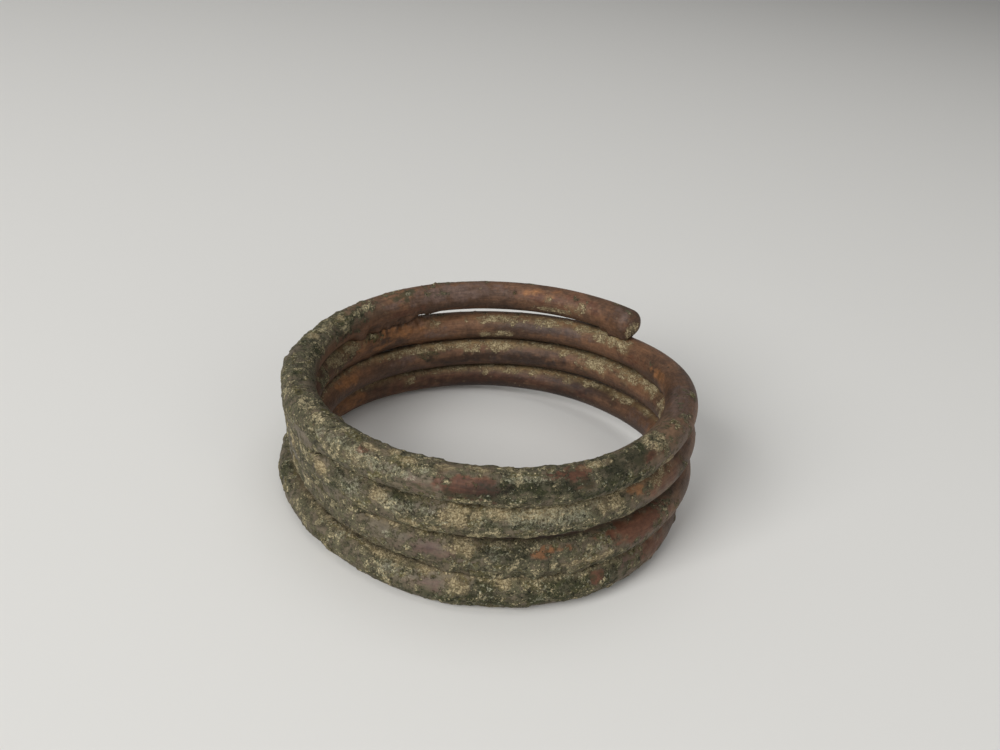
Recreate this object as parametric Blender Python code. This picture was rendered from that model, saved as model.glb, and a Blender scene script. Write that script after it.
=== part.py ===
# Coil bangle: one round bronze rod, wound by hand into a stack of nearly four turns that stands on z = 0.
# Lengths are in millimetres. Directions are in degrees, counterclockwise from +X seen from above.
# A place on the rod is counted in turns from its lower end.
import math

import bmesh
import bpy
from mathutils import Vector

MM = 0.001

# Driving dimensions
ROD_DIAMETER = 7.4
COIL_RADIUS = 44.0  # from the coil's axis to the middle of the rod
TURNS = 3.927
TURN_CLEARANCE = 0.3  # between two turns where they lie closest
LOWER_END_DIRECTION = 17.0  # the rod climbs clockwise from here, so the coil is left-handed
END_ROUNDING = 2.0  # worn edge round the two blunt ends

# The hand winding, at evenly spaced places up the rod, one row a turn: how far the rod lies outside the
# coil's radius there, and how much more than the clearance is open below it, down to the turn or the
# ground under it. The first place lies just before the lower end and the last just past the upper one.
# Past the last the coil is true and closed.
WINDING = (
    ((-1.5, 0.0), (-0.7, 1.3), (0.8, 0.6), (0.2, 0.1), (1.9, 0.0), (0.7, 1.1)),
    ((0.9, 4.8), (0.7, 0.9), (0.1, 0.1), (-1.2, 0.0), (-1.2, 0.9), (-0.9, 0.0)),
    ((0.4, 0.7), (-0.1, 1.5), (-0.3, 1.6), (0.0, 0.2), (0.2, 0.0), (0.4, 0.0)),
    ((0.3, 0.0), (-1.1, 0.3), (0.5, 0.5), (1.6, 1.6), (0.1, 0.0), (-1.4, 2.3)),
    ((-0.3, 0.3), (-5.0, 0.0)),
)
PLACES_PER_TURN = len(WINDING[0])
FIRST_PLACE = -0.1

# Places where corrosion has swollen the rod: the place in turns, the side of the rod as an angle from
# its outer side towards its top, the reach along the rod in degrees of a turn, and the height
SWELLINGS = (
    (3.52, 25.0, 16.0, 0.5),
    (3.12, 60.0, 9.0, 0.4),
    (0.32, -30.0, 22.0, 0.5),
    (0.58, 0.0, 16.0, 0.4),
    (2.55, 0.0, 18.0, 0.4),
    (1.50, 0.0, 14.0, 0.4),
)
SWELLING_WIDTH = 65.0  # how far round the rod a swelling runs to each side of its middle

# Fineness of the mesh
RINGS_PER_TURN = 48
ROD_SIDES = 16
ROUNDING_RINGS = 3

# Bronze under a brown patina
PATINA_COLOUR = (0.105, 0.066, 0.036, 1.0)
PATINA_ROUGHNESS = 0.72
PATINA_METALLIC = 0.25


def wound_places():
    """The rod's distance from the axis and its height at each place of the winding."""
    given = [place for turn in WINDING for place in turn]
    radii = []
    heights = []
    for index in range(math.ceil((TURNS - FIRST_PLACE) * PLACES_PER_TURN) + 3):
        outward, open_below = given[index] if index < len(given) else (0.0, 0.0)
        radii.append(COIL_RADIUS + outward)
        if FIRST_PLACE + index / PLACES_PER_TURN < 1.0:
            heights.append(ROD_DIAMETER / 2 + open_below)
            continue
        below = index - PLACES_PER_TURN
        spacing = ROD_DIAMETER + TURN_CLEARANCE + open_below
        sideways = radii[index] - radii[below]
        heights.append(heights[below] + math.sqrt(spacing**2 - sideways**2))
    return radii, heights


RADII, HEIGHTS = wound_places()


def smooth_value(values, turn):
    """The value at a place on the rod, on the Catmull-Rom curve through the values of the winding."""
    place = (turn - FIRST_PLACE) * PLACES_PER_TURN
    step = math.floor(place)
    last = len(values) - 1
    before, start, end, after = (values[min(max(step + i, 0), last)] for i in (-1, 0, 1, 2))
    part = place - step
    linear = end - before
    square = 2 * before - 5 * start + 4 * end - after
    cube = 3 * (start - end) + after - before
    return start + 0.5 * part * (linear + part * (square + part * cube))


def rod_middle(turn):
    direction = math.radians(LOWER_END_DIRECTION - 360.0 * turn)
    radius = smooth_value(RADII, turn)
    return Vector((radius * math.cos(direction), radius * math.sin(direction), smooth_value(HEIGHTS, turn)))


def rod_directions(turn):
    """The outward and the upward direction across the rod at a place."""
    nearby = 0.002
    along = (rod_middle(turn + nearby) - rod_middle(turn - nearby)).normalized()
    direction = math.radians(LOWER_END_DIRECTION - 360.0 * turn)
    outward = Vector((math.cos(direction), math.sin(direction), 0.0))
    outward = (outward - along * outward.dot(along)).normalized()
    return outward, along.cross(outward)


def fade(distance, reach):
    """A smooth hump, 1 in the middle and 0 from the reach on."""
    return math.cos(0.5 * math.pi * min(abs(distance) / reach, 1.0)) ** 2


def rod_radius(turn, side):
    radius = ROD_DIAMETER / 2
    for place, middle_side, reach, height in SWELLINGS:
        around = (side - middle_side + 180.0) % 360.0 - 180.0
        radius += height * fade(360.0 * (turn - place), reach) * fade(around, SWELLING_WIDTH)
    return radius


def ring_places():
    """Where the rod's cross sections stand, and how much each is drawn in by the rounding of an end."""
    rounding = []
    for i in range(ROUNDING_RINGS + 1):
        angle = 0.5 * math.pi * i / ROUNDING_RINGS
        from_end = END_ROUNDING * (1.0 - math.cos(angle)) / (2 * math.pi * COIL_RADIUS)
        rounding.append((from_end, END_ROUNDING * (1.0 - math.sin(angle))))
    first = rounding[-1][0]
    last = TURNS - first
    count = round((last - first) * RINGS_PER_TURN)
    between = [(first + (last - first) * i / count, 0.0) for i in range(1, count)]
    upper = [(TURNS - from_end, drawn_in) for from_end, drawn_in in reversed(rounding)]
    return rounding + between + upper


def add_ring(mesh, turn, drawn_in):
    middle = rod_middle(turn)
    outward, upward = rod_directions(turn)
    ring = []
    for i in range(ROD_SIDES):
        side = 360.0 * (i + 0.5) / ROD_SIDES
        angle = math.radians(side)
        radius = rod_radius(turn, side) - drawn_in
        point = middle + radius * (math.cos(angle) * outward + math.sin(angle) * upward)
        ring.append(mesh.verts.new(point * MM))
    return ring


def build_rod():
    mesh = bmesh.new()
    rings = [add_ring(mesh, turn, drawn_in) for turn, drawn_in in ring_places()]
    for ring, following in zip(rings, rings[1:]):
        for i in range(ROD_SIDES):
            j = (i + 1) % ROD_SIDES
            mesh.faces.new((ring[i], ring[j], following[j], following[i]))
    for end in (rings[0], rings[-1]):
        mesh.faces.new(end)
    bmesh.ops.recalc_face_normals(mesh, faces=mesh.faces)
    return mesh


def stand_on_origin(mesh):
    """Puts the middle of the coil's outline over the origin, with its lowest point on the ground."""
    low = Vector([min(vert.co[axis] for vert in mesh.verts) for axis in range(3)])
    high = Vector([max(vert.co[axis] for vert in mesh.verts) for axis in range(3)])
    foot = Vector(((low.x + high.x) / 2, (low.y + high.y) / 2, low.z))
    bmesh.ops.translate(mesh, verts=mesh.verts, vec=-foot)


def patina_material():
    material = bpy.data.materials.new("patinated_bronze")
    material.use_nodes = True
    shader = material.node_tree.nodes["Principled BSDF"]
    shader.inputs["Base Color"].default_value = PATINA_COLOUR
    shader.inputs["Roughness"].default_value = PATINA_ROUGHNESS
    shader.inputs["Metallic"].default_value = PATINA_METALLIC
    return material


def build_coil():
    mesh = build_rod()
    stand_on_origin(mesh)
    data = bpy.data.meshes.new("coil")
    mesh.to_mesh(data)
    mesh.free()
    data.materials.append(patina_material())
    data.shade_smooth()
    data.set_sharp_from_angle(angle=math.radians(40.0))
    coil = bpy.data.objects.new("coil", data)
    bpy.context.scene.collection.objects.link(coil)


def clear_scene():
    for item in list(bpy.data.objects):
        bpy.data.objects.remove(item, do_unlink=True)


clear_scene()
build_coil()
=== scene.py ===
# Looks of the coil bangle: one bronze rod in nearly four turns, under patina, crust and soil.
import math

import bpy
import numpy as np
from mathutils import Matrix, Vector, noise


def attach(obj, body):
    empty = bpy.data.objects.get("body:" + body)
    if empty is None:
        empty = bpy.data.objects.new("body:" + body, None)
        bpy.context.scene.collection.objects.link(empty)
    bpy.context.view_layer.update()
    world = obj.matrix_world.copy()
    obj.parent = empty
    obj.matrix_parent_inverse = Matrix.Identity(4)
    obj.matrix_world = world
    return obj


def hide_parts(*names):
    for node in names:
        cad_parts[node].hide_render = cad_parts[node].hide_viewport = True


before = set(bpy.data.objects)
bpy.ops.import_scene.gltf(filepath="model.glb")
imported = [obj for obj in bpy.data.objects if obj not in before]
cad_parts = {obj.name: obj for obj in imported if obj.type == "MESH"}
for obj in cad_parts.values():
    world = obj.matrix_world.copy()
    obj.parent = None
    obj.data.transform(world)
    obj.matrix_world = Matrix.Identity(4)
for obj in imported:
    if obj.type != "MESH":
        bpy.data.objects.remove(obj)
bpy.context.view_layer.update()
mm = 0.001

# The photograph's view: where the camera stands in millimetres and how it is turned in degrees
photoView = {
    "place": (12.414, -195.72, 134.783),
    "turnedRight": -3.189,
    "lookingDown": 28.264,
    "rolledLeft": 7.221,
    "focalLength": 959.2,  # in pixels of the photograph
    "width": 1000,
    "height": 750,
    "sensorWidth": 36.0,
    "nearPixels": 3.0,  # how far a pixel may lie from the point of the rod that is taken for it
    "furthestPixels": 9.0,
}

# The rod, in millimetres, degrees and turns from its lower end, as the frame has it
rod = {
    "diameter": 7.4,
    "coilRadius": 44.0,
    "turns": 3.927,
    "turnClearance": 0.3,
    "lowerEndDirection": 17.0,
    "endRounding": 2.0,
    "firstPlace": -0.1,
    # how far each place of the winding lies outside the coil's radius, and how much is open below it
    "winding": (
        ((-1.5, 0.0), (-0.7, 1.3), (0.8, 0.6), (0.2, 0.1), (1.9, 0.0), (0.7, 1.1)),
        ((0.9, 4.8), (0.7, 0.9), (0.1, 0.1), (-1.2, 0.0), (-1.2, 0.9), (-0.9, 0.0)),
        ((0.4, 0.7), (-0.1, 1.5), (-0.3, 1.6), (0.0, 0.2), (0.2, 0.0), (0.4, 0.0)),
        ((0.3, 0.0), (-1.1, 0.3), (0.5, 0.5), (1.6, 1.6), (0.1, 0.0), (-1.4, 2.3)),
        ((-0.3, 0.3), (-5.0, 0.0)),
    ),
    # turn, side of the rod, reach along it in degrees, height
    "swellings": (
        (3.52, 25.0, 16.0, 0.5),
        (3.12, 60.0, 9.0, 0.4),
        (0.32, -30.0, 22.0, 0.5),
        (0.58, 0.0, 16.0, 0.4),
        (2.55, 0.0, 18.0, 0.4),
        (1.50, 0.0, 14.0, 0.4),
    ),
    "swellingWidth": 65.0,
    "ringsAlong": 2020,
    "sidesAround": 48,
    "roundingRings": 5,
    "faceRings": 6,
    "smallestRing": 0.12,
}
rodRadius = rod["diameter"] / 2
placesPerTurn = len(rod["winding"][0])
turnLength = 2 * math.pi * rod["coilRadius"]


def woundPlaces():
    given = [place for row in rod["winding"] for place in row]
    radii, heights = [], []
    for index in range(math.ceil((rod["turns"] - rod["firstPlace"]) * placesPerTurn) + 3):
        outward, openBelow = given[index] if index < len(given) else (0.0, 0.0)
        radii.append(rod["coilRadius"] + outward)
        if rod["firstPlace"] + index / placesPerTurn < 1.0:
            heights.append(rodRadius + openBelow)
            continue
        below = index - placesPerTurn
        spacing = rod["diameter"] + rod["turnClearance"] + openBelow
        heights.append(heights[below] + math.sqrt(spacing**2 - (radii[index] - radii[below]) ** 2))
    return np.array(radii), np.array(heights)


radii, heights = woundPlaces()


def smoothValue(values, turn):
    place = (turn - rod["firstPlace"]) * placesPerTurn
    step = np.floor(place).astype(int)
    before, start, end, after = (values[np.clip(step + i, 0, len(values) - 1)] for i in (-1, 0, 1, 2))
    part = place - step
    square = 2 * before - 5 * start + 4 * end - after
    cube = 3 * (start - end) + after - before
    return start + 0.5 * part * (end - before + part * (square + part * cube))


def directionOf(turn):
    return np.radians(rod["lowerEndDirection"] - 360.0 * turn)


def rodMiddle(turn):
    direction = directionOf(turn)
    radius = smoothValue(radii, turn)
    return np.stack([radius * np.cos(direction), radius * np.sin(direction), smoothValue(heights, turn)], -1)


def unit(vectors):
    return vectors / np.linalg.norm(vectors, axis=-1, keepdims=True)


def rodDirections(turn):
    along = unit(rodMiddle(turn + 0.002) - rodMiddle(turn - 0.002))
    direction = directionOf(turn)
    outward = np.stack([np.cos(direction), np.sin(direction), 0 * direction], -1)
    outward = unit(outward - along * (outward * along).sum(-1, keepdims=True))
    return along, outward, np.cross(along, outward)


def smoothStep(low, high, value):
    part = np.clip((value - low) / (high - low), 0.0, 1.0)
    return part * part * (3 - 2 * part)


def hump(distance, reach):
    return np.cos(0.5 * math.pi * np.clip(np.abs(distance) / reach, 0, 1)) ** 2


def around(angle):
    return (angle + 180.0) % 360.0 - 180.0


print("rod: rings and sides")
# Rings run from the middle of the lower end face, over its rounding, along the rod and to the upper end face
roundingAngles = np.linspace(0, math.pi / 2, rod["roundingRings"] + 1)
fromEnd = rod["endRounding"] * (1 - np.cos(roundingAngles)) / turnLength
drawnIn = rod["endRounding"] * (1 - np.sin(roundingAngles))
faceDrawnIn = np.linspace(rodRadius - rod["smallestRing"], rod["endRounding"], rod["faceRings"] + 1)[:-1]
between = np.linspace(fromEnd[-1], rod["turns"] - fromEnd[-1], rod["ringsAlong"])[1:-1]
lastTurns = rod["turns"] - fromEnd[::-1]
turnOf = np.concatenate([0 * faceDrawnIn, fromEnd, between, lastTurns, 0 * faceDrawnIn + rod["turns"]])
drawnInOf = np.concatenate([faceDrawnIn, drawnIn, 0 * between, drawnIn[::-1], faceDrawnIn[::-1]])
flat, swept, leaning = 0 * faceDrawnIn, np.sin(roundingAngles), np.cos(roundingAngles)
sideways = np.concatenate([flat, swept, 0 * between + 1, swept[::-1], flat])
endways = np.concatenate([flat - 1, -leaning, 0 * between, leaning[::-1], flat + 1])
# A side of the rod is an angle from its outer side towards its top
sideOf = around(360.0 * (np.arange(rod["sidesAround"]) + 0.5) / rod["sidesAround"] - 90.0)
rings, sides = len(turnOf), len(sideOf)
middle = rodMiddle(turnOf)
along, outward, upward = rodDirections(turnOf)
cosSide, sinSide = np.cos(np.radians(sideOf)), np.sin(np.radians(sideOf))
across = cosSide[None, :, None] * outward[:, None] + sinSide[None, :, None] * upward[:, None]
normal = unit(across * sideways[:, None, None] + along[:, None] * endways[:, None, None])

radiusOf = np.full((rings, sides), rodRadius)
for turn, side, reach, height in rod["swellings"]:
    nearTurn = hump(360.0 * (turnOf - turn), reach)
    nearSide = hump(around(sideOf - side), rod["swellingWidth"])
    radiusOf += height * nearTurn[:, None] * nearSide[None, :]
places = middle[:, None] + (radiusOf - drawnInOf[:, None])[:, :, None] * across
lowest, highest = places.min((0, 1)), places.max((0, 1))
places = places - (*(lowest + highest)[:2] / 2, lowest[2])
lengthOf = turnOf * turnLength
azimuthOf = np.degrees(directionOf(turnOf)) % 360.0

# The camera's axes, and where a point of the bangle shows in the photograph
yaw, down, roll = (math.radians(photoView[key]) for key in ("turnedRight", "lookingDown", "rolledLeft"))
look = np.array([math.sin(yaw) * math.cos(down), math.cos(yaw) * math.cos(down), -math.sin(down)])
level = np.array([math.cos(yaw), -math.sin(yaw), 0.0])
above = np.cross(level, look)
cameraRight = math.cos(roll) * level + math.sin(roll) * above
cameraUp = -math.sin(roll) * level + math.cos(roll) * above
cameraPlace = np.array(photoView["place"])


def inPhoto(points):
    seen = points - cameraPlace
    depth = seen @ look
    x = photoView["width"] / 2 + photoView["focalLength"] * (seen @ cameraRight) / depth
    y = photoView["height"] / 2 - photoView["focalLength"] * (seen @ cameraUp) / depth
    return x, y, depth


photoX, photoY, photoDepth = inPhoto(places)
facing = ((places - cameraPlace) * normal).sum(-1) < 0


def placeUnder(x, y):  # the ring and the side that a pixel of the photograph shows
    pixels = np.hypot(photoX - x, photoY - y)
    near = facing & (np.maximum(np.abs(photoX - x), np.abs(photoY - y)) < photoView["nearPixels"])
    if not near.any():
        near = facing & (pixels < photoView["furthestPixels"])
    distance = np.where(near, photoDepth + 0.3 * pixels, np.inf)
    return np.unravel_index(distance.argmin(), distance.shape)


def awayFrom(x, y, length, width):  # distance over the rod's skin, 1 at the rim of a spot of this size
    ring, side = placeUnder(x, y)
    alongRod = (lengthOf[:, None] - lengthOf[ring]) / (length / 2)
    roundRod = np.radians(around(sideOf - sideOf[side]))[None, :] * rodRadius / (width / 2)
    return np.hypot(alongRod, roundRod)


def fractal(size, octaves, shift):
    points = (places / size + shift).reshape(-1, 3).tolist()
    return np.array([noise.fractal(point, 1.0, 2.0, octaves) for point in points]).reshape(rings, sides)


print("rod: noise")
noises = {  # size in millimetres, octaves, and a shift that sets each one apart
    "broad": (9.0, 2, 3.1),
    "lumps": (3.2, 4, 11.7),
    "grains": (0.95, 3, 27.3),
    "edges": (2.1, 5, 41.9),
    "tints": (6.5, 4, 63.2),
}
broad, lumps, grains, edges, tints = (fractal(*settings) for settings in noises.values())

# How many rings the noise is moved on by for each use, so that no two uses look alike
movedOn = {
    "crust": 0,
    "green": 311,
    "red": 523,
    "orange": 787,
    "webs": 900,
    "violet": 1013,
    "sand": 1249,
    "pits": 1500,
    "spots": 1777,
}


def moved(pattern, use):
    return np.roll(pattern, movedOn[use], 0)


# Spots seen in the photograph: x and y in its frame, length along the rod and width round it in mm, strength
spots = {
    "crust": (
        (368, 307, 5.0, 2.4, 0.9), (345, 322, 12.0, 8.0, 0.8), (315, 335, 8.0, 7.0, 1.0),
        (300, 365, 12.0, 9.0, 0.8), (292, 388, 8.0, 6.0, 1.0), (305, 402, 7.0, 6.0, 1.0),
        (318, 425, 10.0, 9.0, 1.0), (372, 336, 4.5, 2.6, 0.9), (348, 354, 12.0, 4.5, 0.45),
        (328, 378, 9.0, 4.0, 0.8), (430, 356, 6.0, 2.6, 0.5), (324, 400, 8.0, 4.0, 0.6),
        (330, 450, 9.0, 7.0, 0.9), (300, 455, 10.0, 7.0, 0.9), (655, 440, 5.2, 4.2, 1.3),
        (460, 470, 13.0, 2.2, 0.9), (530, 470, 14.0, 2.4, 0.8), (590, 466, 8.0, 2.0, 0.7),
        (530, 490, 14.0, 3.0, 0.8), (470, 515, 14.0, 5.0, 1.0), (530, 515, 12.0, 4.5, 1.0),
        (580, 515, 8.0, 4.0, 0.9), (612, 506, 8.0, 3.5, 0.9), (395, 500, 10.0, 4.0, 0.7),
        (430, 510, 8.0, 4.0, 0.6), (465, 552, 9.0, 5.0, 0.9), (500, 555, 8.0, 5.0, 0.8),
        (590, 545, 9.0, 4.0, 0.6), (345, 535, 9.0, 5.0, 0.6), (385, 560, 12.0, 4.0, 0.8),
        (465, 588, 10.0, 5.0, 0.9), (510, 585, 9.0, 5.0, 0.7), (570, 575, 12.0, 5.0, 0.7),
        (500, 603, 30.0, 3.0, 0.9),
    ),
    "bare": (  # skin that shows without crust
        (618, 470, 8.0, 4.0, 0.5), (468, 488, 10.0, 5.0, 1.0), (578, 474, 8.0, 3.0, 1.0),
        (435, 486, 10.0, 4.0, 0.9), (400, 485, 7.0, 3.0, 0.6), (430, 548, 14.0, 4.0, 0.8),
        (380, 525, 12.0, 4.0, 0.7), (432, 583, 8.0, 4.0, 0.9), (599, 577, 3.0, 2.4, 1.0),
        (550, 551, 6.0, 2.2, 1.0), (640, 525, 10.0, 5.0, 1.0), (642, 487, 6.0, 3.4, 1.0),
        (665, 480, 10.0, 6.0, 1.0), (655, 545, 7.0, 5.0, 1.0), (620, 563, 7.0, 3.5, 0.6),
        (655, 455, 4.0, 2.4, 0.9), (585, 485, 4.0, 2.0, 0.7),
    ),
    "sand": (
        (463, 511, 5.0, 2.0, 1.0), (457, 520, 4.0, 4.0, 1.0), (444, 517, 2.4, 2.6, 1.0),
        (500, 514, 3.4, 2.2, 1.1), (540, 513, 9.0, 2.6, 0.8), (613, 504, 6.0, 2.4, 0.7),
        (377, 493, 3.4, 2.2, 1.1), (322, 468, 3.2, 1.8, 1.1), (292, 443, 2.6, 2.6, 0.9),
        (295, 462, 2.0, 4.0, 0.9), (372, 445, 3.6, 1.4, 0.8), (394, 452, 2.0, 1.2, 1.0),
        (408, 458, 3.2, 1.2, 1.0), (445, 466, 4.0, 1.4, 0.8), (478, 468, 5.0, 1.4, 0.7),
        (593, 466, 6.0, 1.4, 0.7), (406, 524, 3.0, 1.2, 1.0), (435, 530, 2.0, 1.2, 1.0),
        (462, 546, 5.0, 3.2, 0.9), (398, 559, 1.4, 2.4, 0.9), (426, 572, 2.4, 1.6, 1.1),
        (503, 585, 2.4, 2.0, 1.1), (457, 585, 3.4, 3.2, 0.8), (380, 552, 3.4, 2.2, 0.8),
        (663, 472, 2.4, 2.0, 1.1), (658, 479, 8.0, 2.0, 0.7), (670, 463, 5.0, 1.6, 0.9),
        (590, 560, 12.0, 1.2, 0.7), (435, 322, 5.0, 2.6, 0.8), (500, 319, 14.0, 2.2, 0.9),
        (545, 323, 9.0, 2.0, 0.9), (582, 330, 5.0, 2.4, 0.7), (484, 334, 2.4, 1.8, 1.0),
        (500, 336, 6.0, 1.6, 1.0), (602, 339, 4.0, 2.0, 0.9), (621, 349, 3.0, 2.2, 0.7),
        (600, 334, 6.0, 2.5, 1.0), (612, 339, 6.0, 3.0, 1.0), (623, 344, 4.0, 2.4, 1.0),
        (554, 311, 9.0, 1.2, 0.9), (548, 300, 2.0, 2.2, 0.6), (576, 309, 5.0, 2.6, 0.6),
        (400, 352, 14.0, 2.2, 0.8), (440, 346, 10.0, 2.2, 0.9), (470, 345, 9.0, 2.4, 0.8),
        (500, 346, 9.0, 2.4, 1.0), (563, 351, 3.0, 1.4, 0.8), (596, 363, 8.0, 3.4, 1.2),
        (630, 377, 9.0, 2.6, 0.9), (648, 388, 7.0, 2.8, 1.0), (658, 403, 5.0, 2.6, 1.0),
        (657, 414, 3.0, 2.0, 0.9), (622, 398, 6.0, 2.0, 0.8), (645, 410, 6.0, 1.4, 0.8),
        (411, 381, 4.0, 1.8, 0.9), (485, 371, 1.4, 1.6, 0.8), (510, 371, 5.0, 1.4, 0.8),
        (535, 373, 2.4, 1.4, 0.8), (567, 380, 2.4, 1.6, 0.9), (586, 384, 1.6, 1.4, 0.8),
        (340, 316, 2.0, 2.0, 0.8), (340, 360, 12.0, 4.0, 0.8), (352, 348, 8.0, 3.0, 0.8),
        (352, 457, 6.0, 2.0, 0.5), (315, 334, 2.4, 2.4, 0.9),
    ),
    # Green spots: verdigris, and along the undersides of the front turns painted shade as dark green
    "green": (
        (403, 295, 7.0, 3.0, 0.9), (530, 486, 14.0, 3.0, 0.75), (620, 482, 9.0, 3.0, 0.9),
        (405, 498, 6.0, 2.4, 0.9), (340, 480, 6.0, 4.0, 0.7), (480, 603, 26.0, 2.4, 1.0),
        (540, 600, 12.0, 2.0, 0.8), (500, 555, 9.0, 4.0, 0.7), (525, 528, 12.0, 1.8, 0.7),
        (430, 356, 6.0, 2.6, 0.6), (500, 500, 24.0, 1.6, 0.9), (284, 465, 6.0, 6.0, 0.7),
        (622, 463, 12.0, 5.0, 0.9), (345, 322, 12.0, 6.0, 0.5), (390, 565, 8.0, 3.0, 0.5),
        (485, 592, 9.0, 4.0, 0.7), (312, 342, 9.0, 6.0, 0.45), (570, 486, 14.0, 2.4, 0.9),
        (640, 452, 8.0, 4.0, 0.9), (300, 372, 8.0, 3.0, 0.4), (610, 492, 12.0, 1.6, 0.9),
        (560, 592, 16.0, 4.0, 0.8), (615, 575, 10.0, 4.0, 0.7), (575, 532, 10.0, 2.0, 0.7),
    ),
    "chalk": (
        (360, 455, 9.0, 3.0, 0.65), (345, 484, 9.0, 3.4, 0.6), (395, 504, 8.0, 3.0, 0.65),
        (335, 440, 6.0, 3.0, 0.6), (390, 568, 8.0, 3.0, 0.6), (550, 518, 18.0, 4.0, 0.85),
        (580, 516, 6.0, 3.4, 0.75), (430, 512, 8.0, 2.4, 0.3), (409, 294, 1.6, 1.2, 0.8),
        (318, 432, 2.2, 2.2, 1.0), (327, 439, 2.0, 1.8, 0.9), (373, 463, 7.0, 2.2, 0.7),
        (398, 473, 6.0, 1.4, 0.8), (425, 471, 1.6, 1.2, 1.0), (530, 480, 9.0, 1.2, 0.9),
        (578, 516, 1.4, 2.2, 1.1), (387, 533, 2.4, 1.6, 0.7), (425, 510, 5.0, 1.4, 0.6),
        (388, 570, 5.0, 1.8, 0.7), (570, 575, 4.0, 2.0, 0.6), (540, 598, 1.4, 1.0, 0.9),
        (600, 548, 4.0, 1.4, 0.5), (340, 536, 2.2, 1.6, 0.7), (493, 557, 4.0, 2.4, 0.5),
    ),
    "red": (
        (470, 491, 10.0, 4.0, 1.5), (576, 473, 9.0, 3.0, 1.3), (588, 485, 4.0, 2.0, 0.7),
        (599, 577, 2.6, 2.2, 1.2), (640, 525, 14.0, 5.0, 1.2), (655, 455, 5.0, 2.0, 0.8),
        (655, 545, 8.0, 4.0, 0.8), (364, 448, 3.0, 1.8, 0.8), (312, 423, 2.6, 1.8, 0.8),
        (410, 314, 13.0, 1.8, 0.7), (560, 300, 26.0, 4.0, 0.7), (630, 362, 9.0, 3.4, 0.7),
        (480, 376, 60.0, 5.0, 0.8), (665, 475, 12.0, 5.0, 0.7), (560, 390, 30.0, 3.0, 0.6),
        (470, 350, 20.0, 2.4, 0.5),
    ),
    "orange": (
        (330, 385, 12.0, 4.0, 0.6), (368, 345, 10.0, 3.0, 0.7), (405, 333, 12.0, 3.4, 0.9),
        (352, 378, 11.0, 4.0, 0.9), (352, 405, 10.0, 5.0, 0.8), (656, 377, 8.0, 4.0, 0.6),
        (550, 551, 6.0, 1.8, 1.2), (643, 488, 6.0, 2.4, 0.8), (540, 292, 10.0, 3.0, 0.5),
        (505, 511, 2.0, 1.6, 0.8), (385, 350, 8.0, 2.0, 0.6),
    ),
    "shadeAndDarkSpots": (  # places that are darker than the rest: painted shade under the turns and on the lower back rods, and dark patches
        (300, 350, 12.0, 6.0, 0.25), (292, 385, 10.0, 6.0, 0.3), (300, 410, 8.0, 6.0, 0.2),
        (540, 331, 26.0, 3.6, 0.6), (668, 382, 18.0, 6.0, 0.6), (470, 358, 24.0, 3.6, 1.0),
        (530, 362, 30.0, 4.0, 1.0), (600, 392, 22.0, 5.0, 1.0), (480, 380, 44.0, 4.4, 0.8),
        (612, 316, 9.0, 5.0, 0.4), (688, 400, 14.0, 4.0, 0.3), (640, 460, 14.0, 5.0, 0.5),
        (605, 475, 9.0, 4.0, 0.4), (480, 492, 12.0, 3.4, 0.8), (620, 466, 14.0, 4.0, 0.5),
        (432, 517, 8.0, 3.0, 0.4), (520, 552, 22.0, 4.0, 0.5), (580, 474, 10.0, 4.0, 0.4),
        (430, 552, 14.0, 2.4, 0.4), (480, 592, 10.0, 3.0, 0.4), (560, 486, 20.0, 3.0, 0.5),
    ),
    "violet": (
        (450, 293, 26.0, 4.4, 0.9), (395, 306, 8.0, 2.4, 0.6), (545, 330, 22.0, 3.0, 0.9),
        (440, 333, 8.0, 2.4, 0.8), (620, 318, 8.0, 5.0, 0.6), (520, 360, 22.0, 3.0, 0.6),
        (685, 395, 16.0, 6.0, 0.7), (432, 585, 8.0, 3.0, 0.6), (430, 548, 14.0, 3.4, 0.7),
        (635, 418, 10.0, 4.0, 0.7), (430, 488, 9.0, 3.0, 0.6), (622, 563, 9.0, 3.0, 0.7),
        (410, 360, 10.0, 2.6, 0.6),
    ),
}

# The lump on the upper turn: x and y in the photograph, and its size in mm
blister = {"seenAt": (655, 440), "length": 5.2, "width": 4.2, "height": 0.75}

# Soil on the face of the upper end: x and y in the photograph, and how far it reaches in mm
endSoil = {"seenAt": (633, 331), "full": 1.2, "reach": 3.0, "strength": 1.1}


def spotMask(kind):
    mask = np.zeros((rings, sides))
    for x, y, length, width, strength in spots[kind]:
        away = awayFrom(x, y, length, width) + 0.8 * moved(edges, "spots")
        mask = np.maximum(mask, strength * smoothStep(1.9, 0.15, away))
    return mask


def broken(cover, use, amount=0.5):  # breaks a mask up where it covers anything
    return cover + amount * moved(edges, use) * smoothStep(0.0, 0.35, cover)


print("rod: where crust, soil and tints lie")
zones = {  # azimuths in degrees where a zone starts, is full, is no more full, and ends
    "frontLeft": (132.0, 178.0, 300.0, 352.0),
    "frontRight": (245.0, 280.0, 310.0, 335.0),
    "backInside": (5.0, 30.0, 140.0, 175.0),
    "backOutside": (40.0, 80.0, 150.0, 200.0),
}
crustCover = {
    "everywhere": 0.10,
    "frontLeft": 0.52,
    "frontRight": 0.12,
    "backOutside": 0.22,
    "patchiness": 0.40,
    "sheltered": 0.2,  # share of it that is left on the sheltered sides
    "clearedByBare": 0.85,
}
soilCover = {
    "inSpots": 0.85,
    "onBackLips": 0.40,
    "inFrontGrooves": 0.40,
    "dustInSpots": 0.7,
    "dustOnBackLips": 0.8,
    "dustOnFrontLips": 0.3,
    "onBlister": 0.62,
}


def zone(name):
    start, full, noMoreFull, end = zones[name]
    return (smoothStep(start, full, azimuthOf) * smoothStep(end, noMoreFull, azimuthOf))[:, None]


def sideTowards(middleSide, low, high):
    return smoothStep(low, high, np.cos(np.radians(sideOf - middleSide)))


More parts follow.
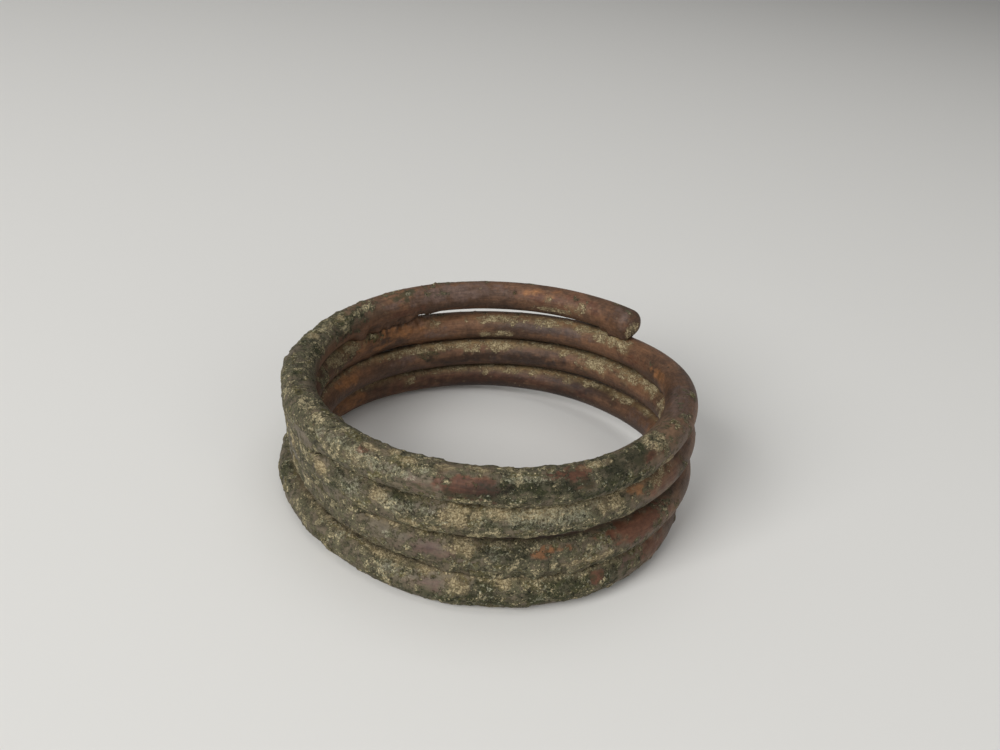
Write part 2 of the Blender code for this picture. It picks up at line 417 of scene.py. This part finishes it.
outer = sideTowards(10.0, -0.45, 0.35)[None, :]
topTurn = smoothStep(rod["turns"] - 1.02, rod["turns"] - 0.94, turnOf)[:, None]
topMiddle = (65.0 - 22.0 * smoothStep(205.0, 240.0, azimuthOf))[:, None]
exposed = np.maximum(outer, topTurn * sideTowards(topMiddle, -0.4, 0.3))
greySide = np.maximum(outer, topTurn * sideTowards(65.0, -0.5, 0.2)[None, :])
backInside = zone("backInside") * smoothStep(0.2, -0.5, cosSide)[None, :]
frontLeft = zone("frontLeft")

crustOnFront = crustCover["frontLeft"] + crustCover["frontRight"] * zone("frontRight")
crust = crustCover["everywhere"] + crustOnFront * frontLeft * exposed
crust = crust + crustCover["backOutside"] * (zone("backOutside") * outer) + crustCover["patchiness"] * tints
crust = np.clip(crust, 0.0, 1.0) * (crustCover["sheltered"] + (1 - crustCover["sheltered"]) * exposed)
crust = np.maximum(crust, spotMask("crust"))
crust = broken(crust * (1 - crustCover["clearedByBare"] * np.minimum(1, spotMask("bare"))), "crust")
sand = soilCover["inSpots"] * spotMask("sand")
verdigrisAndShade = broken(spotMask("green"), "green")
chalk = spotMask("chalk")
cuprite = broken(spotMask("red"), "red")
orange = broken(spotMask("orange"), "orange")
violet = broken(spotMask("violet"), "violet")
# Painted shade: the lower turns and the undersides on the back inside are darkened in the colour
lowTurns = 0.5 * smoothStep(2.5, 0.8, turnOf)[:, None] + 0.5 * smoothStep(0.3, -0.6, sinSide)[None, :]
shadeAndDarkSpots = backInside * lowTurns * smoothStep(140.0, 100.0, azimuthOf)[:, None]
shadeAndDarkSpots = np.maximum(shadeAndDarkSpots, spotMask("shadeAndDarkSpots"))

# Where two turns nearly meet, crust and soil web the groove between them
webs = {
    "least": 0.3,
    "unevenness": 0.5,
    "fullness": 0.92,  # 1 is level with both rods
    "overlap": 0.04,
    "steps": 14,
    # turn of the lower rod, reach to each side in degrees, width in mm
    "outside": (
        (2.47, 24.0, 12.0), (2.52, 36.0, 6.0), (2.30, 42.0, 3.4), (2.17, 30.0, 2.4), (2.05, 30.0, 2.6),
        (1.455, 34.0, 12.0), (1.30, 40.0, 2.2), (1.16, 30.0, 1.4), (1.05, 30.0, 2.6),
        (0.38, 24.0, 1.0), (0.25, 30.0, 3.8), (0.10, 36.0, 3.4),
    ),
    "inside": (
        (2.915, 10.0, 4.5), (2.665, 23.0, 6.4), (2.00, 24.0, 2.6), (1.75, 26.0, 1.4), (1.60, 24.0, 2.2),
        (1.02, 30.0, 2.2), (0.60, 24.0, 2.2),
    ),
}


def webWidth(lowerTurn, where):
    width = webs["least"] + 0 * lowerTurn
    for turn, reach, size in webs[where]:
        width = np.maximum(width, size * smoothStep(1.15, 0.6, np.abs(360.0 * (lowerTurn - turn)) / reach))
    return width[:, None]


def neighbourOf(step):  # how far out and up the next turn lies, or the one before
    other = turnOf + step
    exists = (other >= 0) & (other <= rod["turns"])
    toOther = rodMiddle(np.clip(other, 0, rod["turns"])) - middle
    toOther[~exists] = (0, 0, 1000.0)
    return (toOther * outward).sum(-1)[:, None], (toOther * upward).sum(-1)[:, None]


def webAndRoom(step):
    out, up = neighbourOf(step)
    distance = np.hypot(out, up)
    towards = (cosSide * out + sinSide * up) / distance
    lowerTurn = turnOf + min(step, 0)
    onOutside = smoothStep(-25.0, 25.0, -step * around(sideOf - 90.0 * step))[None, :]
    size = webWidth(lowerTurn, "outside") * onOutside + webWidth(lowerTurn, "inside") * (1 - onOutside)
    size = np.maximum(size * (1 + webs["unevenness"] * lumps), 0.05)
    height = np.zeros((rings, sides))
    for _ in range(webs["steps"]):  # finds where the two rods, blended smoothly, have their common skin
        reach = rodRadius + height
        gap = np.hypot(reach * cosSide - out, reach * sinSide - up) - rodRadius
        blend = np.minimum(height, gap) - np.maximum(size - np.abs(height - gap), 0) ** 2 / (4 * size)
        height = height - 0.8 * blend
    flush = rodRadius / np.sqrt(np.maximum(1 - towards**2, 0.01)) - rodRadius  # level with both rods
    height = np.where(towards > 0.05, np.clip(height, 0.0, webs["fullness"] * flush + 0.02), 0.0)
    toMiddle = distance / 2 / np.maximum(towards, 0.05) - rodRadius
    room = np.where(towards > 0.05, toMiddle + webs["overlap"], 50.0)
    gap = np.hypot(rodRadius * cosSide - out, rodRadius * sinSide - up) - rodRadius
    return height, room, gap


webUp, roomUp, gapUp = webAndRoom(1)
webDown, roomDown, gapDown = webAndRoom(-1)
web = np.maximum(webUp, webDown)
groove = smoothStep(2.6, 0.4, np.minimum(gapUp, gapDown))
lip = smoothStep(2.9, 0.6, gapUp) * (sinSide > -0.2)

dust = lip * (soilCover["dustOnBackLips"] * backInside + soilCover["dustOnFrontLips"] * frontLeft)
dust = np.clip(dust + soilCover["dustInSpots"] * sand, 0, 0.9)
inGaps = soilCover["onBackLips"] * lip * backInside + soilCover["inFrontGrooves"] * groove * frontLeft
sand = broken(np.maximum(sand, inGaps), "sand", 0.6)

print("rod: relief")
reliefHeight = {  # in millimetres
    "unevenRod": 0.05,
    "fineGrains": 0.012,
    "crust": 0.15,
    "crustLumps": 0.32,
    "crustGrains": 0.15,
    "pits": 0.28,
    "wrinkles": 0.06,
    "webLumps": 0.20,
    "soil": 0.10,
    "soilLumps": 0.10,
    "soilGrains": 0.06,
    "chalk": 0.04,
}
wrinkling = {"azimuth": 205.0, "full": 20.0, "reach": 60.0, "spacing": 1.7}  # degrees and mm
crustThickness = smoothStep(0.30, 0.75, crust)
crustShape = reliefHeight["crust"] + reliefHeight["crustLumps"] * lumps + reliefHeight["crustGrains"] * grains
pits = smoothStep(0.35, 0.6, moved(edges, "pits")) * crustThickness
soilShape = reliefHeight["soil"] + reliefHeight["soilLumps"] * lumps + reliefHeight["soilGrains"] * grains
fromWrinkles = np.abs(azimuthOf - wrinkling["azimuth"])[:, None]
wrinkleZone = smoothStep(wrinkling["reach"], wrinkling["full"], fromWrinkles) * np.clip(crust, 0, 1)
wrinkleCount = lengthOf[:, None] / wrinkling["spacing"] + 0.9 * lumps + 0.02 * sideOf
wrinkles = np.sin(2 * math.pi * wrinkleCount) * wrinkleZone
relief = reliefHeight["unevenRod"] * broad + reliefHeight["fineGrains"] * grains
relief += crustThickness * crustShape + reliefHeight["wrinkles"] * wrinkles - reliefHeight["pits"] * pits
relief += reliefHeight["webLumps"] * moved(lumps, "webs") * smoothStep(0.8, 2.4, web)
relief += smoothStep(0.4, 0.8, sand) * soilShape + reliefHeight["chalk"] * np.clip(chalk, 0, 1)
neighbours = [np.roll(relief, (i, j), (0, 1)) for i in (-4, 0, 4) for j in (-4, 0, 4)]
raised = np.clip(0.5 + 3.0 * (relief - sum(neighbours) / len(neighbours)), 0.0, 1.0)

fromBlister = awayFrom(*blister["seenAt"], blister["length"], blister["width"]) + 0.25 * edges
hollow = smoothStep(0.6, 0.2, fromBlister)
relief += blister["height"] * smoothStep(1.15, 0.75, fromBlister) * (1 - 0.75 * hollow + 0.5 * grains)
verdigrisAndShade = verdigrisAndShade * smoothStep(0.9, 1.6, fromBlister)
blisterSoil = smoothStep(1.5, 0.9, fromBlister) * smoothStep(0.1, 0.7, fromBlister)
sand = np.maximum(sand, soilCover["onBlister"] * blisterSoil)
fromEndSoil = np.linalg.norm(places - places[placeUnder(*endSoil["seenAt"])], axis=-1)
soilOnEnd = endSoil["strength"] * smoothStep(endSoil["reach"], endSoil["full"], fromEndSoil)
soilOnEnd = soilOnEnd * smoothStep(0.25, 0.6, endways)[:, None]

fade = np.clip((radiusOf - drawnInOf[:, None]) / rodRadius, 0.15, 1.0)
height = np.minimum(web * sideways[:, None] + relief * fade, np.minimum(roomUp, roomDown))
surface = places + height[:, :, None] * normal
surface[..., 2] = np.maximum(surface[..., 2], 0.0)  # nothing under the ground it stands on

print("rod: mesh")
ring = np.arange(rings - 1)[:, None] * sides  # the first point of each ring
nextRing = ring + sides
side = np.arange(sides)
nextSide = (side + 1) % sides
quads = np.stack([nextRing + side, nextRing + nextSide, ring + nextSide, ring + side], -1)
faces = quads.reshape(-1, 4).tolist()
faces.append(list(range(sides)))
faces.append(list(range((rings - 1) * sides, rings * sides))[::-1])
mesh = bpy.data.meshes.new("coiled_rod")
mesh.from_pydata((surface.reshape(-1, 3) * mm).tolist(), [], faces)
mesh.update()
mesh.shade_smooth()
maskLayers = {
    "crust": crust,
    "sand": np.maximum(sand, soilOnEnd),
    "verdigrisAndShade": verdigrisAndShade,
    "chalk": chalk,
    "cuprite": cuprite,
    "orange": orange,
    "violet": violet,
    "groove": groove,
    "dust": dust,
    "raised": raised,
    "shadeAndDarkSpots": shadeAndDarkSpots,
    "frontLeft": frontLeft * greySide,
}
for name, values in maskLayers.items():
    mesh.attributes.new(name, "FLOAT", "POINT").data.foreach_set("value", values.astype(np.float32).ravel())
# Places on the rod as if it were straight, for streaks along and across it
straightRod = np.empty((rings, sides, 3), np.float32)
fromAxis = (rodRadius - drawnInOf)[:, None]
straightRod[..., 0] = lengthOf[:, None]
straightRod[..., 1] = fromAxis * cosSide
straightRod[..., 2] = fromAxis * sinSide
mesh.attributes.new("straightRod", "FLOAT_VECTOR", "POINT").data.foreach_set("vector", straightRod.ravel())
coiledRod = bpy.data.objects.new("coiled_rod", mesh)
bpy.context.scene.collection.objects.link(coiledRod)

# Colours as linear red, green and blue
finish = {
    "brown": (0.160, 0.080, 0.042),
    "brownDark": (0.074, 0.041, 0.025),
    "greySkin": (0.116, 0.096, 0.062),
    "violet": (0.118, 0.074, 0.056),
    "cuprite": (0.108, 0.046, 0.025),
    "orange": (0.235, 0.108, 0.044),
    "crustBrown": (0.076, 0.050, 0.021),
    "crustOlive": (0.096, 0.082, 0.032),
    "crustGrey": (0.104, 0.096, 0.055),
    "crustGreen": (0.038, 0.040, 0.016),
    "granules": (0.600, 0.500, 0.298),
    "dust": (0.290, 0.210, 0.100),
    "sand": (0.520, 0.425, 0.255),
    "sandDark": (0.200, 0.152, 0.078),
    "chalk": (0.430, 0.415, 0.290),
    "skinRoughness": 0.46,
    "crustRoughness": 0.84,
    "grainRoughness": 0.1,
    "shine": 0.28,
}
# The fine relief: its strength, its height in metres, and what each pattern adds to it
bump = {
    "strength": 0.85,
    "height": 0.00045,
    "grains": 0.7,
    "granules": 0.7,
    "soilCrumbs": 0.6,
    "mottling": 0.5,
}
# How much of what lies under it each layer hides
opacity = {
    "verdigrisAndShade": 0.75,
    "granules": 0.85,
    "veins": 0.8,
    "granulePatches": 0.5,
    "sand": 0.85,
    "chalk": 0.5,
    "specks": 0.55,
}
# How far each layer covers the place that is given to it
coverage = {"granulePatches": 0.95, "soilCrumbs": 0.7, "sand": 0.82, "chalk": 0.55}
# Each pattern's scale, where larger is finer, its detail and its roughness
patterns = {
    "regions": (0.16, 4.0, 0.6),
    "clusters": (0.32, 4.0, 0.65),
    "patches": (0.5, 4.0, 0.65),
    "veins": (0.8, 4.0, 0.65),
    "mottling": (1.0, 5.0, 0.7),
    "streaks": (2.2, 3.0, 0.6),
    "grains": (2.6, 4.0, 0.75),
}
crumbScale = {"granules": 2.4, "soil": 1.5, "specks": 2.3}  # larger is finer here too
# The rim of each mask: scale, raggedness, how much crumbs break it up, softness
rims = {
    "tint": (0.6, 2.0, 0.8, 0.45),
    "verdigrisAndShade": (0.8, 2.4, 1.2, 0.4),
    "crust": (0.9, 2.4, 1.6, 0.2),
    "granulePatches": (1.4, 2.4, 2.8, 0.18),
    "sand": (1.4, 3.6, 3.4, 0.22),
    "chalk": (2.0, 3.5, 3.5, 0.25),
}
# How dark or light a pattern or a mask makes a colour: from value to value, from tone to tone
tones = {
    "mottling": (0.3, 0.7, 0.78, 1.22),
    "streaks": (0.3, 0.7, 0.82, 1.18),
    "mottledPits": (0.36, 0.48, 0.32, 1.02),
    "finePits": (0.38, 0.48, 0.30, 1.02),
    "hollows": (0.2, 0.6, 0.74, 1.08),
    "shadeAndDarkSpots": (0.0, 1.0, 1.0, 0.30),
    "groove": (0.6, 1.0, 1.0, 0.5),
}
# How much a pattern or a mask lets through: from value to value, from share to share (0 to 1 if not given)
shares = {
    "lightBrown": (0.36, 0.64),
    "greyBesideCuprite": (0.1, 0.7, 0.9, 0.15),
    "olive": (0.42, 0.58),
    "grey": (0.62, 0.50),
    "granulesInClusters": (0.40, 0.64, 0.13, 0.54),
    "granulesOnGreen": (0.0, 1.0, 1.0, 0.35),
    "granulesOnLumps": (0.3, 0.7, 0.5, 1.4),
    "veinWidth": (0.022, 0.006),
    "veinsInClusters": (0.42, 0.60),
    "dust": (0.35, 0.65, 0.3, 1.0),
    "paleSand": (0.40, 0.60),
    "specks": (0.44, 0.62, 0.0, 0.26),
    "bumpOnSkin": (0.0, 1.0, 0.12, 1.0),
}


def nodeIn(tree, kind, inputs=(), **settings):
    node = tree.nodes.new(kind)
    for key, value in settings.items():
        setattr(node, key, value)
    for key, value in dict(inputs).items():
        if isinstance(value, bpy.types.NodeSocket):
            tree.links.new(value, node.inputs[key])
        else:
            node.inputs[key].default_value = value
    return node


def calculate(tree, operation, first, second):
    return nodeIn(tree, "ShaderNodeMath", {0: first, 1: second}, operation=operation).outputs[0]


def multiply(tree, first, second):
    return calculate(tree, "MULTIPLY", first, second)


def spread(tree, value, low, high, toLow=0.0, toHigh=1.0):
    inputs = {"Value": value, "From Min": low, "From Max": high, "To Min": toLow, "To Max": toHigh}
    return nodeIn(tree, "ShaderNodeMapRange", inputs, interpolation_type="SMOOTHSTEP").outputs["Result"]


def shaded(tree, colour, tone):
    return nodeIn(tree, "ShaderNodeVectorMath", {0: colour, 3: tone}, operation="SCALE").outputs[0]


def mixColours(tree, mask, first, second):
    node = nodeIn(tree, "ShaderNodeMix", data_type="RGBA")
    for index, value in ((0, mask), (6, first), (7, second)):
        if isinstance(value, bpy.types.NodeSocket):
            tree.links.new(value, node.inputs[index])
        else:
            node.inputs[index].default_value = value if index == 0 else (*value, 1.0)
    return node.outputs[2]


def noiseIn(tree, place, scale, detail, roughness):
    inputs = {"Vector": place, "Scale": scale, "Detail": detail, "Roughness": roughness}
    return nodeIn(tree, "ShaderNodeTexNoise", inputs).outputs["Fac"]


def stretched(tree, place, factor):  # stretches a pattern along the rod where the factor is under 1
    inputs = {0: place, 1: (factor, 1.0, 1.0)}
    return nodeIn(tree, "ShaderNodeVectorMath", inputs, operation="MULTIPLY").outputs[0]


def groupWith(name, numbers):  # a node group that takes these numbers and a place, and gives a mask
    group = bpy.data.node_groups.new(name, "ShaderNodeTree")
    for title, value in numbers.items():
        socket = group.interface.new_socket(title, in_out="INPUT", socket_type="NodeSocketFloat")
        socket.default_value = value
    group.interface.new_socket("Place", in_out="INPUT", socket_type="NodeSocketVector")
    group.interface.new_socket("Mask", in_out="OUTPUT", socket_type="NodeSocketFloat")
    return group, group.nodes.new("NodeGroupInput").outputs, group.nodes.new("NodeGroupOutput").inputs


def raggedMaskGroup():
    numbers = {"Mask": 0.0, "Scale": 1.0, "Raggedness": 1.0, "Crumbs": 0.6, "Softness": 0.15}
    group, given, result = groupWith("raggedMask", numbers)
    coarse = calculate(group, "SUBTRACT", noiseIn(group, given["Place"], given["Scale"], 5.0, 0.65), 0.5)
    fineScale = multiply(group, given["Scale"], 4.3)
    crumbs = calculate(group, "SUBTRACT", noiseIn(group, given["Place"], fineScale, 3.0, 0.7), 0.5)
    uneven = multiply(group, coarse, given["Raggedness"])
    uneven = calculate(group, "ADD", uneven, multiply(group, crumbs, given["Crumbs"]))
    uneven = multiply(group, uneven, spread(group, given["Mask"], 0.02, 0.3))
    value = calculate(group, "ADD", given["Mask"], uneven)
    low = calculate(group, "SUBTRACT", 0.5, given["Softness"])
    high = calculate(group, "ADD", 0.5, given["Softness"])
    group.links.new(spread(group, value, low, high), result["Mask"])
    return group


def crumbsGroup():
    group, given, result = groupWith("crumbs", {"Cover": 0.5, "Scale": 2.0})
    inputs = {"Vector": given["Place"], "Scale": given["Scale"]}
    bend = nodeIn(group, "ShaderNodeTexNoise", inputs).outputs["Color"]
    inputs = {0: given["Place"], 1: shaded(group, bend, 0.9)}
    bent = nodeIn(group, "ShaderNodeVectorMath", inputs, operation="ADD").outputs[0]
    cells = nodeIn(group, "ShaderNodeTexVoronoi", {"Vector": bent, "Scale": given["Scale"]})
    chance = nodeIn(group, "ShaderNodeSeparateColor", {0: cells.outputs["Color"]}).outputs[0]
    chosen = calculate(group, "SUBTRACT", given["Cover"], chance)
    shape = spread(group, cells.outputs["Distance"], 0.72, 0.30)
    group.links.new(multiply(group, spread(group, chosen, -0.05, 0.12), shape), result["Mask"])
    return group


raggedMask = raggedMaskGroup()
crumbMask = crumbsGroup()


def ragged(tree, place, mask, scale, raggedness, crumbs, softness):
    inputs = {"Place": place, "Mask": mask, "Scale": scale, "Raggedness": raggedness}
    inputs.update({"Crumbs": crumbs, "Softness": softness})
    return nodeIn(tree, "ShaderNodeGroup", inputs, node_tree=raggedMask).outputs["Mask"]


def crumbsIn(tree, place, cover, scale):
    inputs = {"Place": place, "Cover": cover, "Scale": scale}
    return nodeIn(tree, "ShaderNodeGroup", inputs, node_tree=crumbMask).outputs["Mask"]


def skinColour(tree, place, streaky, layer, mottled):  # brown, with violet, cuprite red and orange places
    regions = noiseIn(tree, stretched(tree, place, 0.5), *patterns["regions"])
    streaks = noiseIn(tree, stretched(tree, place, 0.12), *patterns["streaks"])
    lightBrown = spread(tree, regions, *shares["lightBrown"])
    colour = mixColours(tree, lightBrown, finish["brownDark"], finish["brown"])
    greyed = multiply(tree, layer["frontLeft"], spread(tree, layer["cuprite"], *shares["greyBesideCuprite"]))
    colour = mixColours(tree, greyed, colour, finish["greySkin"])
    for name in ("violet", "cuprite", "orange"):
        mask = ragged(tree, streaky, layer[name], *rims["tint"])
        colour = mixColours(tree, mask, colour, finish[name])
    mottling = spread(tree, mottled, *tones["mottling"])
    return shaded(tree, colour, multiply(tree, mottling, spread(tree, streaks, *tones["streaks"])))


def granulesOnCrust(tree, place, streaky, layer, greenMask):  # tan crumbs, veins and patches of crumbs
    clustered = noiseIn(tree, place, *patterns["clusters"])
    cover = multiply(tree, layer["crust"], spread(tree, clustered, *shares["granulesInClusters"]))
    cover = multiply(tree, cover, spread(tree, greenMask, *shares["granulesOnGreen"]))
    cover = multiply(tree, cover, spread(tree, layer["raised"], *shares["granulesOnLumps"]))
    # a vein runs where its pattern passes its middle value
    fromVein = calculate(tree, "SUBTRACT", noiseIn(tree, place, *patterns["veins"]), 0.5)
    veins = spread(tree, calculate(tree, "ABSOLUTE", fromVein, 0.0), *shares["veinWidth"])
    veins = multiply(tree, veins, spread(tree, clustered, *shares["veinsInClusters"]))
    veins = multiply(tree, multiply(tree, veins, layer["crust"]), opacity["veins"])
    granules = calculate(tree, "MAXIMUM", crumbsIn(tree, place, cover, crumbScale["granules"]), veins)
    patchCover = multiply(tree, cover, coverage["granulePatches"])
    patches = ragged(tree, streaky, patchCover, *rims["granulePatches"])
    return calculate(tree, "MAXIMUM", granules, multiply(tree, patches, opacity["granulePatches"]))


def crustColour(tree, layer, greenMask, patchy, granules, mottled, granular):  # pitted ground under granules, with painted shade in the hollows of the relief and painted light on its raised places
    olive = spread(tree, patchy, *shares["olive"])
    ground = mixColours(tree, olive, finish["crustBrown"], finish["crustOlive"])
    ground = mixColours(tree, spread(tree, patchy, *shares["grey"]), ground, finish["crustGrey"])
    ground = mixColours(tree, greenMask, ground, finish["crustGreen"])
    ground = mixColours(tree, multiply(tree, granules, opacity["granules"]), ground, finish["granules"])
    pits = spread(tree, mottled, *tones["mottledPits"])
    pits = multiply(tree, pits, spread(tree, granular, *tones["finePits"]))
    # Painted shade and light: the hollows of the relief are darkened and its raised places lightened in the
    # colour
    pits = multiply(tree, pits, spread(tree, layer["raised"], *tones["hollows"]))
    return shaded(tree, ground, pits)


def sandOverGrooves(tree, colour, streaky, layer, mottled, granular, soilCrumbs):  # dust, then sandy soil
    dust = multiply(tree, layer["dust"], spread(tree, mottled, *shares["dust"]))
    colour = mixColours(tree, dust, colour, finish["dust"])
    sandMask = ragged(tree, streaky, multiply(tree, layer["sand"], coverage["sand"]), *rims["sand"])
    sandMask = calculate(tree, "MAXIMUM", sandMask, soilCrumbs)
    paleSand = spread(tree, granular, *shares["paleSand"])
    sandColour = mixColours(tree, paleSand, finish["sandDark"], finish["sand"])
    return sandMask, mixColours(tree, multiply(tree, sandMask, opacity["sand"]), colour, sandColour)


def chalkOver(tree, colour, place, layer, patchy, crustMask):  # chalky patches and specks
    chalkMask = ragged(tree, place, multiply(tree, layer["chalk"], coverage["chalk"]), *rims["chalk"])
    colour = mixColours(tree, multiply(tree, chalkMask, opacity["chalk"]), colour, finish["chalk"])
    speckCover = multiply(tree, layer["frontLeft"], spread(tree, patchy, *shares["specks"]))
    specks = multiply(tree, crumbsIn(tree, place, speckCover, crumbScale["specks"]), crustMask)
    return mixColours(tree, multiply(tree, specks, opacity["specks"]), colour, finish["chalk"])


def bumpOf(tree, matt, granular, granules, soilCrumbs, mottled):  # the grains show less on the smooth skin
    height = multiply(tree, granular, bump["grains"])
    height = calculate(tree, "ADD", height, multiply(tree, granules, bump["granules"]))
    height = calculate(tree, "ADD", height, multiply(tree, soilCrumbs, bump["soilCrumbs"]))
    height = multiply(tree, height, spread(tree, matt, *shares["bumpOnSkin"]))
    height = calculate(tree, "ADD", height, multiply(tree, mottled, bump["mottling"]))
    inputs = {"Strength": bump["strength"], "Distance": bump["height"], "Height": height}
    return nodeIn(tree, "ShaderNodeBump", inputs).outputs["Normal"]


def patinatedBronze():
    material = bpy.data.materials.new("patinated_bronze_looks")
    material.use_nodes = True
    tree = material.node_tree
    shader = tree.nodes["Principled BSDF"]
    place = nodeIn(tree, "ShaderNodeAttribute", attribute_name="straightRod").outputs["Vector"]
    layer = {}
    for name in maskLayers:
        layer[name] = nodeIn(tree, "ShaderNodeAttribute", attribute_name=name).outputs["Fac"]
    streaky = stretched(tree, place, 0.35)
    mottled = noiseIn(tree, place, *patterns["mottling"])
    granular = noiseIn(tree, place, *patterns["grains"])
    patchy = noiseIn(tree, streaky, *patterns["patches"])

    colour = skinColour(tree, place, streaky, layer, mottled)
    # Dark green over verdigris, and painted shade along the undersides of the front turns
    greenMask = ragged(tree, streaky, layer["verdigrisAndShade"], *rims["verdigrisAndShade"])
    colour = mixColours(tree, multiply(tree, greenMask, opacity["verdigrisAndShade"]), colour, finish["crustGreen"])

    crustMask = ragged(tree, place, layer["crust"], *rims["crust"])
    granules = granulesOnCrust(tree, place, streaky, layer, greenMask)
    ground = crustColour(tree, layer, greenMask, patchy, granules, mottled, granular)
    colour = mixColours(tree, crustMask, colour, ground)
    # Painted shade: the colour is darkened under the turns, on the lower back rods and in the darker spots
    colour = shaded(tree, colour, spread(tree, layer["shadeAndDarkSpots"], *tones["shadeAndDarkSpots"]))

    crumbCover = multiply(tree, layer["sand"], coverage["soilCrumbs"])
    soilCrumbs = crumbsIn(tree, place, crumbCover, crumbScale["soil"])
    sandMask, colour = sandOverGrooves(tree, colour, streaky, layer, mottled, granular, soilCrumbs)
    colour = chalkOver(tree, colour, place, layer, patchy, crustMask)
    # Painted shade: the grooves between the turns are darkened in the colour
    colour = shaded(tree, colour, spread(tree, layer["groove"], *tones["groove"]))
    tree.links.new(colour, shader.inputs["Base Color"])

    matt = calculate(tree, "MAXIMUM", crustMask, sandMask)
    roughness = spread(tree, matt, 0.0, 1.0, finish["skinRoughness"], finish["crustRoughness"])
    roughness = calculate(tree, "ADD", roughness, multiply(tree, granular, finish["grainRoughness"]))
    tree.links.new(roughness, shader.inputs["Roughness"])
    tree.links.new(bumpOf(tree, matt, granular, granules, soilCrumbs, mottled), shader.inputs["Normal"])
    shader.inputs["Metallic"].default_value = 0.0
    shader.inputs["Specular IOR Level"].default_value = finish["shine"]
    return material


print("rod: material")
mesh.materials.append(patinatedBronze())
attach(coiledRod, "root")
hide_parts("coil")

print("stage, light and camera")
stage = {
    "floorSize": 12.0,
    "floorColour": (0.74, 0.73, 0.70),
    "floorRoughness": 0.8,
    "worldColour": (0.64, 0.64, 0.64),
    "worldStrength": 0.34,
    "lightTarget": (0.0, 0.0, 0.02),
}
lights = {  # place in metres, size in metres, watts
    "keyLight": ((-0.84, -1.20, 0.92), 0.9, 26.0),
    "fillLight": ((0.90, -1.24, 0.80), 1.2, 6.0),
    "topLight": ((0.0, 0.10, 1.60), 1.4, 6.0),
}


def paleFloor():
    material = bpy.data.materials.new("pale_floor")
    material.use_nodes = True
    shader = material.node_tree.nodes["Principled BSDF"]
    shader.inputs["Base Color"].default_value = (*stage["floorColour"], 1.0)
    shader.inputs["Roughness"].default_value = stage["floorRoughness"]
    return material


half = stage["floorSize"] / 2
corners = [(-half, -half, 0), (half, -half, 0), (half, half, 0), (-half, half, 0)]
floorMesh = bpy.data.meshes.new("floor")
floorMesh.from_pydata(corners, [], [(0, 1, 2, 3)])
floorMesh.materials.append(paleFloor())
floor = bpy.data.objects.new("floor", floorMesh)
bpy.context.scene.collection.objects.link(floor)

world = bpy.data.worlds.new("studio")
world.use_nodes = True
world.node_tree.nodes["Background"].inputs["Color"].default_value = (*stage["worldColour"], 1.0)
world.node_tree.nodes["Background"].inputs["Strength"].default_value = stage["worldStrength"]
bpy.context.scene.world = world
bpy.context.scene.view_settings.view_transform = "Standard"

for name, (lightPlace, size, power) in lights.items():
    lamp = bpy.data.lights.new(name, "AREA")
    lamp.energy = power
    lamp.size = size
    lampObject = bpy.data.objects.new(name, lamp)
    lampObject.location = lightPlace
    towardsCoil = Vector(stage["lightTarget"]) - Vector(lightPlace)
    lampObject.rotation_euler = towardsCoil.to_track_quat("-Z", "Y").to_euler()
    bpy.context.scene.collection.objects.link(lampObject)

cameraData = bpy.data.cameras.new("camera")
cameraData.sensor_width = photoView["sensorWidth"]
cameraData.lens = photoView["focalLength"] * photoView["sensorWidth"] / photoView["width"]
cameraData.clip_start = 0.01
camera = bpy.data.objects.new("camera", cameraData)
axes = Matrix([cameraRight, cameraUp, -look]).transposed()
camera.matrix_world = Matrix.Translation(Vector(cameraPlace) * mm) @ axes.to_4x4()
bpy.context.scene.collection.objects.link(camera)
bpy.context.scene.camera = camera
